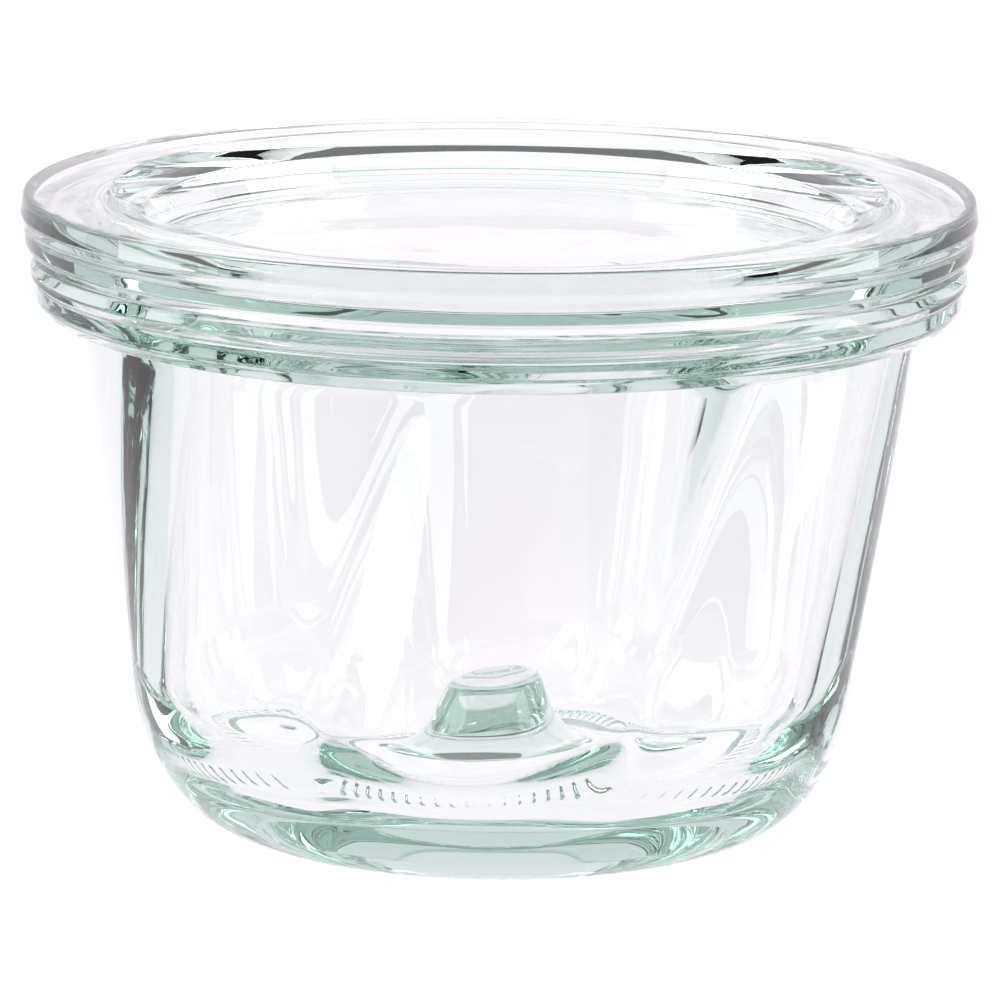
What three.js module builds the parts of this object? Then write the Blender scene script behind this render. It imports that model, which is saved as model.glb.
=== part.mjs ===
// A small wide canning jar of pressed glass with its loose glass lid.
// The outside is smooth and round. The inside is a cake mould: six bowl-shaped
// lobes with rounded ribs between them that lean round the axis, and a blunt
// cone in the middle of the floor.
// Millimetres, +Z up. The origin is the middle of the base, on the table.
// Angles are counted from the front, -Y, towards +X.
import * as THREE from "three";
import { mergeVertices } from "three/addons/utils/BufferGeometryUtils.js";

// Rim and lid, sized for the common 100 mm canning lid.
const LID_RADIUS = 55.5;
const LID_SIDE_RADIUS = 55.1;
const RIM_RADIUS = 54.4;
const RIM_BAND_RADIUS = 53.9;
const RIM_FOOT_RADIUS = 52.1;
const MOUTH_RADIUS = 46.6;

// Heights above the table.
const RIM_BOTTOM = 59.9;
const RIM_SEAM = 63.7;
const RIM_TOP = 66.4;
const LID_GAP = 0.3;
const LID_BEAD = 71.6;
const LID_TOP = 73.8;

// Outer wall of the jar: a foot ring, a round heel and a straight cone.
const FOOT_RADIUS = 32.8;
const HEEL_RADIUS = 42.8;
const HEEL_TOP = 17.4;
const HEEL_POWER = 1.7;
const NECK_RADIUS = 48.9;

// The underside is pushed up a little inside the foot ring.
const PUSH_UP = 1.4;
const PUSH_UP_RADIUS = 27;
const PUSH_UP_SLOPE = 2.2;

// Inside of the jar, measured at the middle of a lobe.
const LOBE_TOP = 60.5;
const LOBE_TOP_RADIUS = 39.9;
const LOBE_FOOT = 19;
const LOBE_FOOT_RADIUS = 37.9;
const FLOOR_HEIGHT = 7.5;
const FLOOR_CORNER = 13;

// The cone in the middle of the floor, which flares out at its foot.
const CONE_FOOT_RADIUS = 20;
const CONE_FLARE_RADIUS = 15;
const CONE_FLARE_HEIGHT = 9.8;
const CONE_WAIST_RADIUS = 10.9;
const CONE_WAIST_HEIGHT = 12.8;
const CONE_TOP_RADIUS = 7;
const CONE_HEIGHT = 18.3;

// Ribs between the lobes.
const RIBS = 6;
const RIB_DEPTH = 3.4;
const RIB_ROUNDING = 0.37;
const RIB_ANGLE_FOOT = THREE.MathUtils.degToRad(22.5);
const RIB_ANGLE_TOP = THREE.MathUtils.degToRad(45);
// The ribs fade in over this height below their top end, and over these radii
// and heights where they run out on the floor.
const RIB_TOP_FADE = 2.5;
const RIB_FLOOR_RADII = [24, 38];
const RIB_FLOOR_HEIGHTS = [12, 22];

// Lid: flat-topped ring, recessed plate, and the ring that centres it in the mouth.
const RING_INNER_RADIUS = 45;
const SLOPE_FOOT_RADIUS = 41.2;
const SLOPE_FOOT = 71.5;
const PLATE_TOP = 67.6;
const PLATE_RADIUS = 39.5;
const PLATE_UNDERSIDE = 64.2;
const CENTRING_RADIUS = 45.4;
const CENTRING_WIDTH = 3;
const CENTRING_BOTTOM = 63;

const COLUMNS = 84;
const GLASS = 0xe3f0ea;

const PITCH = (2 * Math.PI) / RIBS;
const { lerp } = THREE.MathUtils;

// Points of a quarter superellipse from (r0, z0) to (r1, z1). It leaves the
// first point along r and reaches the second along z, or the other way round.
function quarter(r0, z0, r1, z1, power, steps, alongRFirst = true) {
  const points = [];
  for (let i = 0; i <= steps; i++) {
    const t = (i / steps) * (Math.PI / 2);
    const rise = 1 - Math.cos(t) ** (2 / power);
    const run = Math.sin(t) ** (2 / power);
    const [r, z] = alongRFirst ? [run, rise] : [rise, run];
    points.push([r0 + (r1 - r0) * r, z0 + (z1 - z0) * z]);
  }
  return points;
}

// Points between two ends, without the ends.
function between(r0, z0, r1, z1, pieces) {
  const points = [];
  for (let i = 1; i < pieces; i++) {
    points.push([r0 + ((r1 - r0) * i) / pieces, z0 + ((z1 - z0) * i) / pieces]);
  }
  return points;
}

// A closed solid swept round Z. The profile starts on the axis and ends on it,
// and place(r, z, column) gives the angle and may move the point inwards.
function turned(profile, place) {
  const positions = [];
  const indices = [];
  const rings = profile.map(([r, z]) => {
    const count = r === 0 ? 1 : COLUMNS;
    const first = positions.length / 3;
    for (let c = 0; c < count; c++) {
      const point = place(r, z, (c / COLUMNS) * 2 * Math.PI);
      positions.push(point.r * Math.sin(point.angle), -point.r * Math.cos(point.angle), point.z);
    }
    return { first, count };
  });
  for (let i = 0; i + 1 < rings.length; i++) {
    const low = rings[i];
    const high = rings[i + 1];
    for (let c = 0; c < COLUMNS; c++) {
      const next = (c + 1) % COLUMNS;
      const a = low.first + (low.count > 1 ? c : 0);
      const b = low.first + (low.count > 1 ? next : 0);
      const d = high.first + (high.count > 1 ? c : 0);
      const e = high.first + (high.count > 1 ? next : 0);
      if (a !== b) indices.push(a, b, e);
      if (d !== e) indices.push(a, e, d);
    }
  }
  const geometry = new THREE.BufferGeometry();
  geometry.setAttribute("position", new THREE.Float32BufferAttribute(positions, 3));
  geometry.setIndex(indices);
  const merged = mergeVertices(geometry);
  merged.computeVertexNormals();
  return merged;
}

const plain = (r, z, angle) => ({ r, z, angle });

// Outer profile of the jar from the middle of the underside to the mouth.
function jarOutside() {
  return [
    [0, PUSH_UP],
    [PUSH_UP_RADIUS * 0.5, PUSH_UP],
    [PUSH_UP_RADIUS, PUSH_UP],
    [PUSH_UP_RADIUS + PUSH_UP_SLOPE, 0],
    ...quarter(FOOT_RADIUS, 0, HEEL_RADIUS, HEEL_TOP, HEEL_POWER, 8),
    ...between(HEEL_RADIUS, HEEL_TOP, NECK_RADIUS, RIM_BOTTOM + 0.2, 2),
    [NECK_RADIUS, RIM_BOTTOM + 0.2],
    [RIM_FOOT_RADIUS, RIM_BOTTOM],
    [RIM_FOOT_RADIUS + 1.2, RIM_BOTTOM + 0.6],
    [RIM_BAND_RADIUS, RIM_BOTTOM + 1.8],
    [RIM_BAND_RADIUS, RIM_SEAM],
    [RIM_RADIUS - 0.1, RIM_SEAM + 0.5],
    [RIM_RADIUS, RIM_SEAM + 1.4],
    [RIM_RADIUS - 0.5, RIM_TOP - 0.5],
    [RIM_RADIUS - 1.4, RIM_TOP],
    [MOUTH_RADIUS + 0.8, RIM_TOP],
    [MOUTH_RADIUS, RIM_TOP - 0.8],
  ];
}

// Inner profile at the middle of a lobe, from the mouth down to the cone's tip.
function jarInside() {
  const cornerRadius = LOBE_FOOT_RADIUS - FLOOR_CORNER;
  return [
    [MOUTH_RADIUS - 0.3, LOBE_TOP + 2.4],
    [MOUTH_RADIUS - 1, LOBE_TOP + 1.9],
    [LOBE_TOP_RADIUS + 1.6, LOBE_TOP + 0.9],
    [LOBE_TOP_RADIUS + 0.4, LOBE_TOP + 0.2],
    [LOBE_TOP_RADIUS, LOBE_TOP - 1],
    ...between(LOBE_TOP_RADIUS, LOBE_TOP - 1, LOBE_FOOT_RADIUS, LOBE_FOOT, 6),
    ...quarter(LOBE_FOOT_RADIUS, LOBE_FOOT, cornerRadius, FLOOR_HEIGHT, 2, 6, false),
    ...between(cornerRadius, FLOOR_HEIGHT, CONE_FOOT_RADIUS, FLOOR_HEIGHT, 2),
    [CONE_FOOT_RADIUS, FLOOR_HEIGHT + 0.2],
    [CONE_FLARE_RADIUS, CONE_FLARE_HEIGHT],
    [lerp(CONE_FLARE_RADIUS, CONE_WAIST_RADIUS, 0.6), lerp(CONE_FLARE_HEIGHT, CONE_WAIST_HEIGHT, 0.5)],
    [CONE_WAIST_RADIUS - 0.2, CONE_WAIST_HEIGHT],
    [CONE_TOP_RADIUS + 0.3, CONE_HEIGHT - 1.2],
    [CONE_TOP_RADIUS * 0.75, CONE_HEIGHT],
    [0, CONE_HEIGHT - 0.3],
  ];
}

// How far the ribs have grown at a place on the inner wall, from 0 to 1.
function ribStrength(r, z) {
  if (r < RIB_FLOOR_RADII[0]) return 0;
  const top = THREE.MathUtils.smoothstep(LOBE_TOP - z, -1, RIB_TOP_FADE);
  const across = THREE.MathUtils.smoothstep(r, ...RIB_FLOOR_RADII);
  const up = THREE.MathUtils.smoothstep(z, ...RIB_FLOOR_HEIGHTS);
  return top * Math.max(across, up);
}

// Height of the rib relief across one lobe: 0 in its middle, 1 on the rib.
function ribShape(angleFromRib) {
  const u = 1 - Math.abs(angleFromRib) / (PITCH / 2);
  const bowl = 1 - u * u;
  const round = Math.hypot(bowl, RIB_ROUNDING);
  return 1 - (round - RIB_ROUNDING) / (Math.hypot(1, RIB_ROUNDING) - RIB_ROUNDING);
}

function ribAngle(z) {
  const up = THREE.MathUtils.clamp((z - FLOOR_HEIGHT) / (LOBE_TOP - FLOOR_HEIGHT), 0, 1);
  return lerp(RIB_ANGLE_FOOT, RIB_ANGLE_TOP, up);
}

function makeJar() {
  const outside = jarOutside();
  const inside = jarInside();
  const profile = [...outside, ...inside];
  // Direction into the jar's hollow at each inner profile point.
  const inwards = new Map();
  inside.forEach(([r, z], i) => {
    const before = inside[Math.max(i - 1, 0)];
    const after = inside[Math.min(i + 1, inside.length - 1)];
    const along = new THREE.Vector2(after[0] - before[0], after[1] - before[1]).normalize();
    inwards.set(`${r},${z}`, new THREE.Vector2(along.y, -along.x));
  });
  return turned(profile, (r, z, column) => {
    const direction = inwards.get(`${r},${z}`);
    const angle = column + (direction ? ribAngle(z) : RIB_ANGLE_TOP);
    if (!direction) return plain(r, z, angle);
    const fromRib = THREE.MathUtils.euclideanModulo(column + PITCH / 2, PITCH) - PITCH / 2;
    const push = RIB_DEPTH * ribShape(fromRib) * ribStrength(r, z);
    return plain(r + direction.x * push, z + direction.y * push, angle);
  });
}

function lidProfile() {
  const bottom = RIM_TOP + LID_GAP;
  const centringInner = CENTRING_RADIUS - CENTRING_WIDTH;
  return [
    [0, PLATE_UNDERSIDE],
    [centringInner * 0.5, PLATE_UNDERSIDE],
    [centringInner - 1.5, PLATE_UNDERSIDE],
    [centringInner - 0.3, PLATE_UNDERSIDE - 0.7],
    [centringInner + 0.4, CENTRING_BOTTOM],
    [CENTRING_RADIUS - 0.5, CENTRING_BOTTOM],
    [CENTRING_RADIUS, CENTRING_BOTTOM + 0.6],
    [CENTRING_RADIUS + 0.4, bottom - 0.1],
    [CENTRING_RADIUS + 0.9, bottom],
    [LID_SIDE_RADIUS - 1.5, bottom],
    [LID_SIDE_RADIUS - 0.5, bottom + 0.5],
    [LID_SIDE_RADIUS, bottom + 1.7],
    [LID_SIDE_RADIUS + 0.1, LID_BEAD - 1.6],
    [LID_RADIUS, LID_BEAD],
    [LID_RADIUS - 0.2, LID_TOP - 0.7],
    [LID_RADIUS - 0.5, LID_TOP - 0.2],
    [LID_RADIUS - 1, LID_TOP],
    [RING_INNER_RADIUS + 0.6, LID_TOP],
    [RING_INNER_RADIUS - 0.3, LID_TOP - 0.3],
    [SLOPE_FOOT_RADIUS + 0.6, SLOPE_FOOT + 0.4],
    [SLOPE_FOOT_RADIUS, SLOPE_FOOT - 0.2],
    [PLATE_RADIUS + 0.4, PLATE_TOP + 0.8],
    [PLATE_RADIUS - 0.7, PLATE_TOP],
    [PLATE_RADIUS * 0.5, PLATE_TOP],
    [0, PLATE_TOP],
  ];
}

function glass(name, geometry) {
  const material = new THREE.MeshStandardMaterial({ color: GLASS, roughness: 0.05, metalness: 0 });
  material.transparent = true;
  material.opacity = 0.35;
  const mesh = new THREE.Mesh(geometry, material);
  mesh.name = name;
  return mesh;
}

const canningJar = new THREE.Group();
canningJar.add(glass("jar", makeJar()));
canningJar.add(glass("lid", turned(lidProfile(), plain)));

export default canningJar;
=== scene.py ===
# %% [markdown]
# # A small wide canning jar and its glass lid
# The real object is two pieces of clear pressed glass. The jar is smooth and
# round outside and a cake mould inside: six bowl-shaped lobes, rounded ribs
# that lean round the axis, and a blunt cone in the middle of the floor. The
# lid is loose and rests on the rim. Both are far finer here than the solids
# that carry the sizes, because clear glass shows every curve, front and back.

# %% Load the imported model
import bpy
import bmesh
import math
from mathutils import Matrix, Quaternion, Vector


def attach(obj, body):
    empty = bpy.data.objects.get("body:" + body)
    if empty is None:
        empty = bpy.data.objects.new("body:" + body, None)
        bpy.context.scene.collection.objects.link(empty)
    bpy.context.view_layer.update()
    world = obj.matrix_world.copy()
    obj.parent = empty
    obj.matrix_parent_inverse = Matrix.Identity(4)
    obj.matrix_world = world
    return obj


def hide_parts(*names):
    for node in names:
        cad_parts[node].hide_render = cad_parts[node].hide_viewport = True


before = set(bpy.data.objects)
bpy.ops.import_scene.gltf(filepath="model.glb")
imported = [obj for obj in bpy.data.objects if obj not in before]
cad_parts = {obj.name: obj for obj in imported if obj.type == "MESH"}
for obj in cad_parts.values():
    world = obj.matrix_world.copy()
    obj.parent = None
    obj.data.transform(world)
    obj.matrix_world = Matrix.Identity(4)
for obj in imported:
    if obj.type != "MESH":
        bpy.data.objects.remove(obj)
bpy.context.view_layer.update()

MM = 0.001


# %% [markdown]
# ## Camera
# The picture's camera looks slightly down on the jar from two thirds of a metre.
# Its distance, height and lens were worked out from the circles of the jar:
# how fast they open from the rim down to the foot gives the height, and how
# the far and near halves differ gives the distance. A camera could also be
# aimed by hand with an empty, but then the circles would not agree.

# %% Camera
CAMERA_DISTANCE = 651.3 * MM
CAMERA_HEIGHT = 181.5 * MM
CAMERA_PITCH = math.radians(12.53)
CAMERA_ROLL = math.radians(0.66)
FOCAL_PIXELS = 5682
AXIS_PIXEL = 496.3
FRAME_PIXELS = 1000
SENSOR_MM = 36

camera = bpy.data.cameras.new("camera")
camera.sensor_width = SENSOR_MM
camera.lens = FOCAL_PIXELS / FRAME_PIXELS * SENSOR_MM
camera.shift_x = (FRAME_PIXELS / 2 - AXIS_PIXEL) / FRAME_PIXELS
camera.clip_start = 0.01
camera_object = bpy.data.objects.new("camera", camera)
bpy.context.scene.collection.objects.link(camera_object)
look = Vector((0, math.cos(CAMERA_PITCH), -math.sin(CAMERA_PITCH)))
turn = look.to_track_quat("-Z", "Y") @ Quaternion((0, 0, 1), CAMERA_ROLL)
camera_object.matrix_world = Matrix.LocRotScale((0, -CAMERA_DISTANCE, CAMERA_HEIGHT), turn, None)
bpy.context.scene.camera = camera_object
print("lens mm:", round(camera.lens, 1))


# %% [markdown]
# ## Studio
# Clear glass has no colour of its own, so it is drawn by what stands round
# it. A light table and a lit backdrop behind the jar give the bright field.
# Towards the camera the table and the room are dimmer, and the steep parts of
# the glass bend that dim side into view, which is what makes dark edges. Soft
# boxes at both sides leave the white streaks, and a wide one overhead lights
# the lid. Long paths go round inside the glass, so the bounces are raised.

# %% Studio
TABLE_DEPTH = 4.0
TABLE_WIDTH = 9.0
TABLE_DROP = 0.2 * MM
BACKDROP_HEIGHT = 2.0
BACKDROP_BEND = 0.6
FIELD_LIGHT = (1.14, 1.06, 1.13)
ROOM_COLOUR = (0.15, 0.15, 0.155)
FRONT_BRIGHT = -0.07
FRONT_DIM = -0.20
FRONT_LIGHT = 0.20


def fresh_start():
    """Object mode with nothing selected, so that the next operator acts on its own piece."""
    if bpy.context.object and bpy.context.object.mode != "OBJECT":
        bpy.ops.object.mode_set(mode="OBJECT")
    bpy.ops.object.select_all(action="DESELECT")


def light_table_material():
    """Glows evenly behind the front edge and fades out towards the camera."""
    material = bpy.data.materials.new("light_table")
    material.use_nodes = True
    nodes = material.node_tree.nodes
    shader = nodes["Principled BSDF"]
    shader.inputs["Base Color"].default_value = (0, 0, 0, 1)
    shader.inputs["Roughness"].default_value = 1.0
    shader.inputs["Specular IOR Level"].default_value = 0.0
    shader.inputs["Emission Color"].default_value = (*FIELD_LIGHT, 1)
    place = nodes.new("ShaderNodeTexCoord")
    split = nodes.new("ShaderNodeSeparateXYZ")
    fade = nodes.new("ShaderNodeMapRange")
    fade.interpolation_type = "SMOOTHSTEP"
    fade.inputs["From Min"].default_value = FRONT_DIM
    fade.inputs["From Max"].default_value = FRONT_BRIGHT
    fade.inputs["To Min"].default_value = FRONT_LIGHT
    fade.inputs["To Max"].default_value = 1.0
    links = material.node_tree.links
    links.new(place.outputs["Object"], split.inputs["Vector"])
    links.new(split.outputs["Y"], fade.inputs["Value"])
    links.new(fade.outputs["Result"], shader.inputs["Emission Strength"])
    return material


def make_table():
    """A light table with a backdrop at the back, joined by a wide bend."""
    fresh_start()
    bpy.ops.mesh.primitive_plane_add(size=TABLE_DEPTH, location=(0, 0, -TABLE_DROP))
    table = bpy.context.object
    table.name = "light_table"
    table.scale.x = TABLE_WIDTH / TABLE_DEPTH
    bpy.ops.object.mode_set(mode="EDIT")
    bpy.ops.mesh.select_all(action="DESELECT")
    mesh = bmesh.from_edit_mesh(table.data)
    for edge in mesh.edges:
        edge.select = all(v.co.y > 0 for v in edge.verts)
    bmesh.update_edit_mesh(table.data)
    bpy.ops.mesh.extrude_region_move(TRANSFORM_OT_translate={"value": (0, 0, BACKDROP_HEIGHT)})
    bpy.ops.mesh.select_all(action="DESELECT")
    mesh = bmesh.from_edit_mesh(table.data)
    for edge in mesh.edges:
        edge.select = all(v.co.y > 0 and v.co.z < TABLE_DROP for v in edge.verts)
    bmesh.update_edit_mesh(table.data)
    bpy.ops.mesh.bevel(offset=BACKDROP_BEND, segments=12, affect="EDGES")
    bpy.ops.object.mode_set(mode="OBJECT")
    bpy.ops.object.transform_apply(location=True, rotation=True, scale=True)
    table.data.materials.append(light_table_material())


def soft_box(name, size, place, aim, power):
    light = bpy.data.lights.new(name, "AREA")
    light.shape = "RECTANGLE"
    light.size, light.size_y = size
    light.energy = power
    lamp = bpy.data.objects.new(name, light)
    bpy.context.scene.collection.objects.link(lamp)
    direction = Vector(aim) - Vector(place)
    lamp.matrix_world = Matrix.LocRotScale(place, direction.to_track_quat("-Z", "Y"), None)


make_table()
JAR_MIDDLE = (0, 0, 0.05)
soft_box("soft_box_left", (0.5, 0.9), (-0.75, -0.1, 0.40), JAR_MIDDLE, 5)
soft_box("soft_box_right", (0.5, 0.9), (0.75, -0.1, 0.40), JAR_MIDDLE, 5)
soft_box("soft_box_top", (2.6, 2.0), (0, -0.2, 0.95), JAR_MIDDLE, 17)
room = bpy.data.worlds.new("room")
room.use_nodes = True
room.node_tree.nodes["Background"].inputs["Color"].default_value = (*ROOM_COLOUR, 1)
bpy.context.scene.world = room
bpy.context.scene.view_settings.view_transform = "Standard"
light_paths = bpy.context.scene.cycles
light_paths.max_bounces = 14
light_paths.glossy_bounces = 14
light_paths.transmission_bounces = 14


# %% [markdown]
# ## From a section to a glass body
# Both pieces were pressed round an axis, so each starts as half of its cut
# section. The section is given by its corners, each with a rounding radius,
# as on a drawing. One vertex is extruded from point to point, and the line is
# spun round the axis. A stack of cylinders would also give the size, but not
# the one unbroken skin with soft corners that pressed glass has.

# %% Section points
COLUMNS = 336
CORNER_STEPS = 5
POINT_SPACING = 1.2


def rounded(corners):
    """Points through corners (r, z, rounding) in mm, none further apart than POINT_SPACING."""
    line = []
    for i, (r, z, rounding) in enumerate(corners):
        here = Vector((r, z))
        if rounding == 0 or i in (0, len(corners) - 1):
            line.append(here)
            continue
        before = Vector(corners[i - 1][:2]) - here
        after = Vector(corners[i + 1][:2]) - here
        half = before.angle(after) / 2
        reach = min(rounding / math.tan(half), before.length * 0.49, after.length * 0.49)
        start = here + before.normalized() * reach
        end = here + after.normalized() * reach
        for step in range(CORNER_STEPS + 1):
            t = step / CORNER_STEPS
            line.append(start * (1 - t) ** 2 + here * 2 * t * (1 - t) + end * t ** 2)
    points = [line[0]]
    for point in line[1:]:
        gap = (point - points[-1]).length
        if gap < 1e-4:
            continue
        pieces = max(1, math.ceil(gap / POINT_SPACING))
        last = points[-1]
        points += [last.lerp(point, (k + 1) / pieces) for k in range(pieces)]
    return points


def curve(start, end, power, steps, flat_first=True):
    """Corners on a quarter superellipse, which leaves start along r, or up if not flat_first."""
    corners = []
    for i in range(steps + 1):
        t = i / steps * math.pi / 2
        rise = 1 - math.cos(t) ** (2 / power)
        run = math.sin(t) ** (2 / power)
        across, up = (run, rise) if flat_first else (rise, run)
        corners.append((start[0] + (end[0] - start[0]) * across,
                        start[1] + (end[1] - start[1]) * up, 0))
    return corners


# %% Spin a section
def spin_section(name, points):
    """A closed body spun from a half section; the attribute order counts its points."""
    fresh_start()
    bpy.ops.mesh.primitive_plane_add(size=1 * MM, location=(0, 0, 0))
    body = bpy.context.object
    body.name = name
    body.data.name = name
    bpy.ops.object.mode_set(mode="EDIT")
    bpy.ops.mesh.merge(type="CENTER")
    bpy.ops.mesh.select_all(action="SELECT")
    here = Vector((0, 0, 0))
    for i, point in enumerate(points):
        there = Vector((0, -point.x * MM, point.y * MM))
        if i == 0:
            bpy.ops.transform.translate(value=there - here)
        else:
            bpy.ops.mesh.extrude_vertices_move(TRANSFORM_OT_translate={"value": there - here})
        here = there
    mesh = bmesh.from_edit_mesh(body.data)
    order = mesh.verts.layers.int.new("order")
    mesh.verts.ensure_lookup_table()
    for vert in mesh.verts:
        vert[order] = vert.index
    bmesh.update_edit_mesh(body.data)
    bpy.ops.mesh.select_all(action="SELECT")
    bpy.ops.mesh.spin(steps=COLUMNS, angle=2 * math.pi, center=(0, 0, 0), axis=(0, 0, 1))
    bpy.ops.mesh.select_all(action="SELECT")
    bpy.ops.mesh.remove_doubles(threshold=0.001 * MM)
    bpy.ops.mesh.normals_make_consistent(inside=False)
    bpy.ops.object.mode_set(mode="OBJECT")
    bpy.ops.object.shade_smooth()
    print(name, "vertices:", len(body.data.vertices))
    return body


# %% [markdown]
# ## Jar: the cut section
# The outside leaves the table with a narrow foot ring, turns up through a
# full round heel and runs straight and slightly open to the thick rim. A fine
# seam goes round the rim where two parts of the steel mould met. The inside
# is given at the middle of a lobe.

# %% Jar section
LOBE_TOP = 60.5
LOBE_TOP_RADIUS = 39.9
LOBE_FOOT_RADIUS = 37.9
LOBE_FOOT = 19.0
FLOOR_HEIGHT = 7.5
FLOOR_CORNER = 13.0

jar_outside = [
    (0, 1.4, 0),
    (26.6, 1.4, 1.5),
    (28.8, 0, 0.8),
    *curve((32.8, 0), (42.8, 17.4), 1.7, 20),
    (48.9, 60.2, 0.3),
    (52.3, 59.9, 0.8),
    (53.9, 61.6, 1.4),
    (53.9, 63.5, 0.2),
    (53.7, 63.7, 0.15),
    (54.3, 64.0, 0.4),
    (54.4, 65.0, 1.0),
    (53.6, 66.4, 0.9),
    (46.9, 66.4, 1.0),
]
jar_inside = [
    (46.3, 62.9, 1.0),
    (LOBE_TOP_RADIUS + 0.8, LOBE_TOP + 0.8, 1.0),
    (LOBE_TOP_RADIUS, LOBE_TOP - 1.0, 1.5),
    *curve((LOBE_FOOT_RADIUS, LOBE_FOOT), (LOBE_FOOT_RADIUS - FLOOR_CORNER, FLOOR_HEIGHT), 2, 16, False),
    (20.0, FLOOR_HEIGHT, 3.0),
    (15.0, 9.8, 2.5),
    (10.9, 12.8, 4.0),
    (7.2, 18.5, 2.2),
    (0, 18.0, 0),
]
inside_start = len(rounded(jar_outside))
jar_points = rounded(jar_outside + jar_inside)
print("jar section points:", len(jar_points))

# %% Spin the jar
jar = spin_section("jar_glass", jar_points)

# %% [markdown]
# ## Jar: ribs inside
# In the real mould the plunger has six rounded lobes, so the glass between
# them stands in as ribs. They lean: each rib starts at one angle at the floor
# and ends further round at the top. The spun body already has the lobe's own
# section, so the ribs are raised from it in code, as a sculptor would push
# the skin: each point moves square to the skin by a share that is full on a
# rib and nothing in the middle of a lobe.

# %% Ribs
RIBS = 6
RIB_DEPTH = 3.4
RIB_ROUNDING = 0.37
RIB_ANGLE_FOOT = math.radians(22.5)
RIB_ANGLE_TOP = math.radians(45)
RIB_TOP_FADE = 2.5
RIB_FLOOR_RADII = (24.0, 38.0)
RIB_FLOOR_HEIGHTS = (12.0, 22.0)


def ease(value, low, high):
    """0 up to low, 1 from high on, and a smooth step between them."""
    t = min(max((value - low) / (high - low), 0), 1)
    return t * t * (3 - 2 * t)


def rib_share(radius, height):
    """How strong the ribs are at a place on the inside, from 0 to 1."""
    if radius < RIB_FLOOR_RADII[0]:
        return 0
    from_top = ease(LOBE_TOP - height, -1, RIB_TOP_FADE)
    from_middle = ease(radius, *RIB_FLOOR_RADII)
    return from_top * max(from_middle, ease(height, *RIB_FLOOR_HEIGHTS))


def rib_height(angle):
    """1 on a rib and 0 in the middle of a lobe, with a rounded ridge."""
    pitch = 2 * math.pi / RIBS
    off = abs((angle + pitch / 2) % pitch - pitch / 2)
    share = 1 - off / (pitch / 2)
    bowl = math.hypot(1 - share * share, RIB_ROUNDING)
    return 1 - (bowl - RIB_ROUNDING) / (math.hypot(1, RIB_ROUNDING) - RIB_ROUNDING)


def rib_angle(height):
    """Where a rib stands at a height: the ribs lean as they rise."""
    up = min(max((height - FLOOR_HEIGHT) / (LOBE_TOP - FLOOR_HEIGHT), 0), 1)
    return RIB_ANGLE_FOOT + (RIB_ANGLE_TOP - RIB_ANGLE_FOOT) * up


def raise_ribs(body, points, first):
    """Pushes the inside, from the section's point number first on, into ribs."""
    layer = body.data.attributes["order"].data
    for vert in body.data.vertices:
        i = layer[vert.index].value
        if i < first or i >= len(points) - 1:
            continue
        radius, height = points[i]
        along = (points[i + 1] - points[i - 1]).normalized()
        inwards = Vector((along.y, -along.x))
        column = math.atan2(vert.co.x, -vert.co.y)
        angle = rib_angle(height)
        push = RIB_DEPTH * rib_share(radius, height) * rib_height(column - angle)
        new = points[i] + inwards * push
        vert.co = (new.x * math.sin(column) * MM, -new.x * math.cos(column) * MM, new.y * MM)
    body.data.update()


raise_ribs(jar, jar_points, inside_start)


# %% [markdown]
# ## Jar: grip marks under the foot
# The real foot ring carries a row of short radial marks, which keep the hot
# jar from sticking and sliding on the belt. They could be cut one by one, but
# the ring already has columns of points, so every few columns the ring's flat
# is pressed up a little, and the ring between the marks still stands flat.

# %% Grip marks
MARKS = 84
MARK_DEPTH = 0.9
MARK_INNER = 29.8
MARK_OUTER = 34.2
MARK_END = 0.9
MARK_FLANK = (0.12, 0.38)
FOOT_RING_HEIGHT = 1.2


def press_marks(body):
    """Presses short radial grooves up into the foot ring."""
    pressed = 0
    for vert in body.data.vertices:
        radius = math.hypot(vert.co.x, vert.co.y) / MM
        if vert.co.z > FOOT_RING_HEIGHT * MM or not MARK_INNER < radius < MARK_OUTER:
            continue
        turn = math.atan2(vert.co.x, -vert.co.y) * MARKS / (2 * math.pi)
        across = abs((turn + 0.5) % 1 - 0.5)
        share = ease(0.5 - across, *MARK_FLANK)
        ends = ease(radius - MARK_INNER, 0, MARK_END) * ease(MARK_OUTER - radius, 0, MARK_END)
        vert.co.z += MARK_DEPTH * share * ends * MM
        pressed += share > 0.5
    body.data.update()
    print("mark points:", pressed)


press_marks(jar)


# %% [markdown]
# ## Lid
# The lid is one solid pressing: a thick flat-topped ring, a slope and a step
# down to a flat plate, and under it a ring that centres the lid in the mouth.
# Such a lid often has raised lettering on its plate. That is left off here, so
# the plate is plain.

# %% Lid
lid_section = [
    (0, 64.2, 0),
    (41.2, 64.2, 1.0),
    (42.8, 63.0, 0.5),
    (45.0, 63.0, 0.8),
    (45.8, 66.4, 0.4),
    (46.3, 66.7, 0.3),
    (54.0, 66.7, 0.7),
    (55.0, 67.9, 1.2),
    (55.15, 70.4, 0.8),
    (55.5, 71.4, 0.8),
    (55.1, 73.8, 0.6),
    (45.0, 73.8, 0.7),
    (41.2, 71.5, 0.7),
    (39.8, 67.6, 0.8),
    (0, 67.6, 0),
]
lid = spin_section("lid_glass", rounded(lid_section))


# %% [markdown]
# ## Glass
# Both pieces are the same clear soda-lime glass, faintly green in the depth:
# a thin wall looks colourless, and a long path along an edge goes green. So
# the colour is an absorption inside the glass and not a paint on its skin. The
# skin has the faint waviness that a steel mould leaves.

# %% Pressed skin, one effect for both glasses
GLASS_IOR = 1.52
SKIN_WAVE_SIZE = 90.0
SKIN_WAVE_DEPTH = 0.05 * MM
GLASS_DEPTH_COLOUR = (0.42, 0.64, 0.56, 1)
GLASS_DEPTH_DENSITY = 16.0


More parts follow.
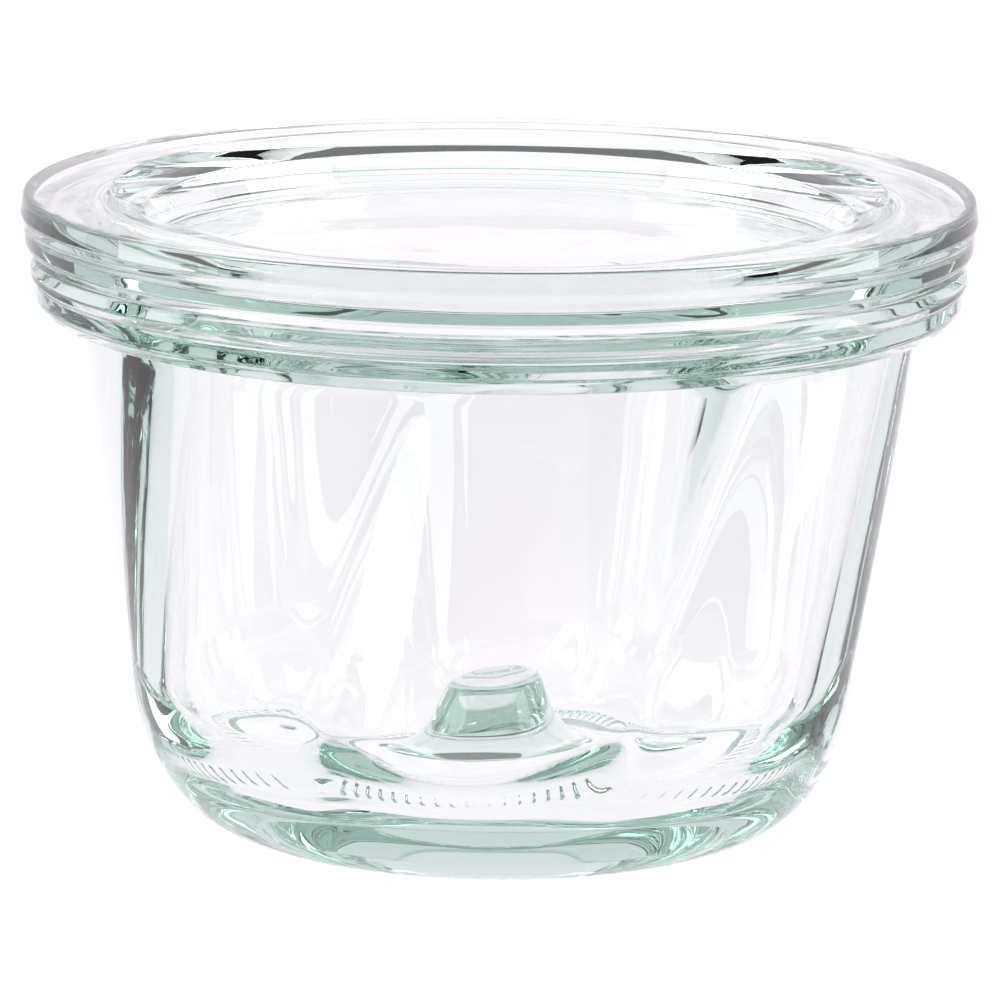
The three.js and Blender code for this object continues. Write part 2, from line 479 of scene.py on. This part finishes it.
def pressed_skin_group():
    """Faint waves of the mould, as Height for a Bump node."""
    group = bpy.data.node_groups.new("pressed_skin", "ShaderNodeTree")
    face = group.interface
    face.new_socket("Wave size", in_out="INPUT", socket_type="NodeSocketFloat")
    face.new_socket("Height", in_out="OUTPUT", socket_type="NodeSocketFloat")
    nodes = group.nodes
    links = group.links
    given = nodes.new("NodeGroupInput")
    result = nodes.new("NodeGroupOutput")
    place = nodes.new("ShaderNodeTexCoord")
    wave = nodes.new("ShaderNodeTexNoise")
    wave.inputs["Detail"].default_value = 1.0
    links.new(place.outputs["Object"], wave.inputs["Vector"])
    links.new(given.outputs["Wave size"], wave.inputs["Scale"])
    links.new(wave.outputs["Fac"], result.inputs["Height"])
    return group


def glass_material(name):
    """Clear glass with the pressed skin outside and an absorption inside."""
    material = bpy.data.materials.new(name)
    material.use_nodes = True
    nodes = material.node_tree.nodes
    links = material.node_tree.links
    shader = nodes["Principled BSDF"]
    shader.inputs["Base Color"].default_value = (1, 1, 1, 1)
    shader.inputs["IOR"].default_value = GLASS_IOR
    shader.inputs["Transmission Weight"].default_value = 1.0
    skin = nodes.new("ShaderNodeGroup")
    skin.node_tree = pressed_skin
    skin.inputs["Wave size"].default_value = SKIN_WAVE_SIZE
    bump = nodes.new("ShaderNodeBump")
    bump.inputs["Distance"].default_value = SKIN_WAVE_DEPTH
    links.new(skin.outputs["Height"], bump.inputs["Height"])
    links.new(bump.outputs["Normal"], shader.inputs["Normal"])
    shader.inputs["Roughness"].default_value = 0.0
    depth = nodes.new("ShaderNodeVolumeAbsorption")
    depth.inputs["Color"].default_value = GLASS_DEPTH_COLOUR
    depth.inputs["Density"].default_value = GLASS_DEPTH_DENSITY
    links.new(depth.outputs["Volume"], nodes["Material Output"].inputs["Volume"])
    return material


pressed_skin = pressed_skin_group()
for piece, node in ((jar, "jar"), (lid, "lid")):
    piece.data.materials.clear()
    piece.data.materials.append(glass_material(node + "_clear_glass"))
    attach(piece, "root")
    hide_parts(node)
